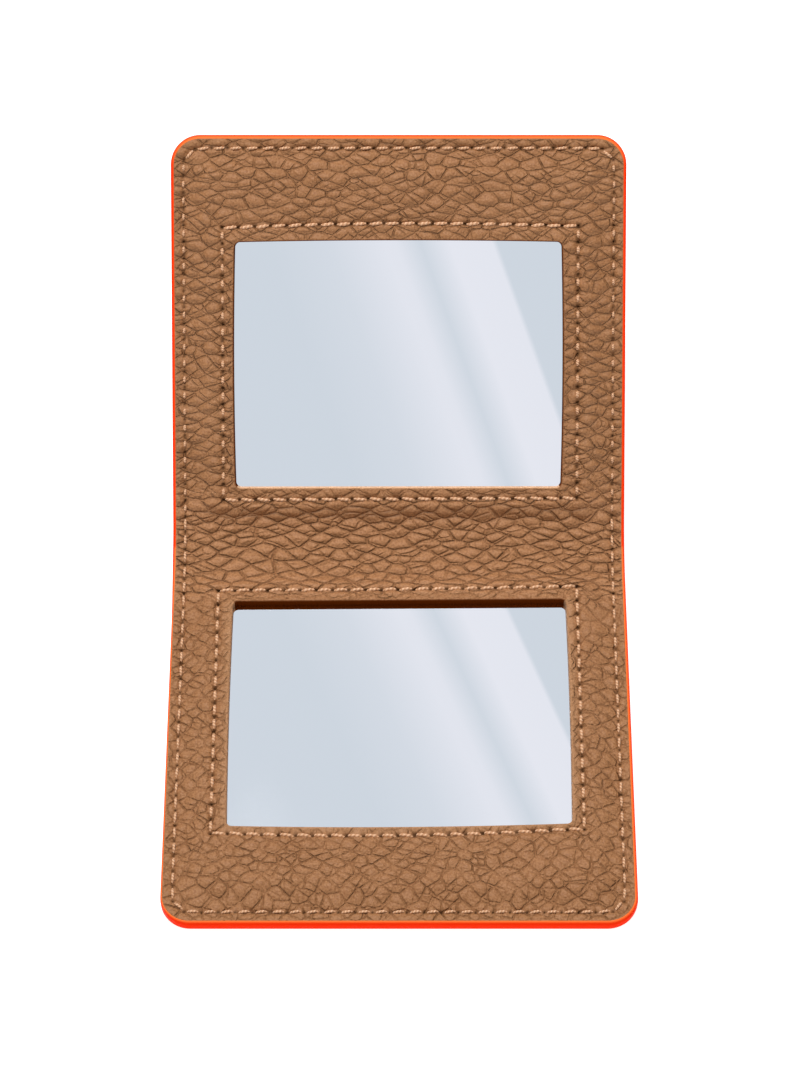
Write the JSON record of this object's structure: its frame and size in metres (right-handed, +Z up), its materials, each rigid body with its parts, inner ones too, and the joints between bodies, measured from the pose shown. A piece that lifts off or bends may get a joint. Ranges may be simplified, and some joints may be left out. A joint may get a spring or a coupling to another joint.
{
  "type": "compact mirror",
  "caption": "Folding leather compact mirror: stitched tan frames round two mirrors, with painted edges and a soft fold between the halves.",
  "frame": {"origin": "middle of the base half's resting face, on the surface that it lies on", "axes": "+X along the fold, to the user's right; +Y from the user to the lid; +Z up, out of the base's mirror"},
  "size_m": [0.08, 0.1322, 0.0476],
  "materials": {
    "leather": "pebbled, satin",
    "bonded_leather": "matte",
    "board": "matte",
    "tape": "matte",
    "mirror": "polished",
    "edge_paint": "gloss",
    "thread": "twisted, matte"
  },
  "bodies": {
    "base": {"base_outer_leather": "leather", "base_stiffener": "bonded_leather", "base_frame_board": "board", "base_mirror_tape": "tape", "base_mirror_glass": "mirror", "base_inner_leather": "leather", "base_edge_paint": "edge_paint", "base_window_stitches": "thread", "base_front_stitches": "thread", "base_back_stitches": "thread", "fold_outer_leather": "leather", "fold_inner_leather": "leather", "fold_reinforcement": "bonded_leather", "fold_edge_paint": "edge_paint", "fold_front_stitches": "thread", "fold_back_stitches": "thread"},
    "lid": {"lid_outer_leather": "leather", "lid_stiffener": "bonded_leather", "lid_frame_board": "board", "lid_mirror_tape": "tape", "lid_mirror_glass": "mirror", "lid_inner_leather": "leather", "lid_edge_paint": "edge_paint", "lid_window_stitches": "thread", "lid_front_stitches": "thread", "lid_back_stitches": "thread"}
  },
  "joints": [
    {"name": "fold", "type": "hinge", "parent": "base", "child": "lid", "pos_m": [0, 0.03615, 0.0041], "axis": [1, 0, 0], "range_deg": [-38, 142], "deforming": ["fold_outer_leather", "fold_inner_leather", "fold_reinforcement", "fold_edge_paint", "fold_front_stitches", "fold_back_stitches"]}
  ]
}
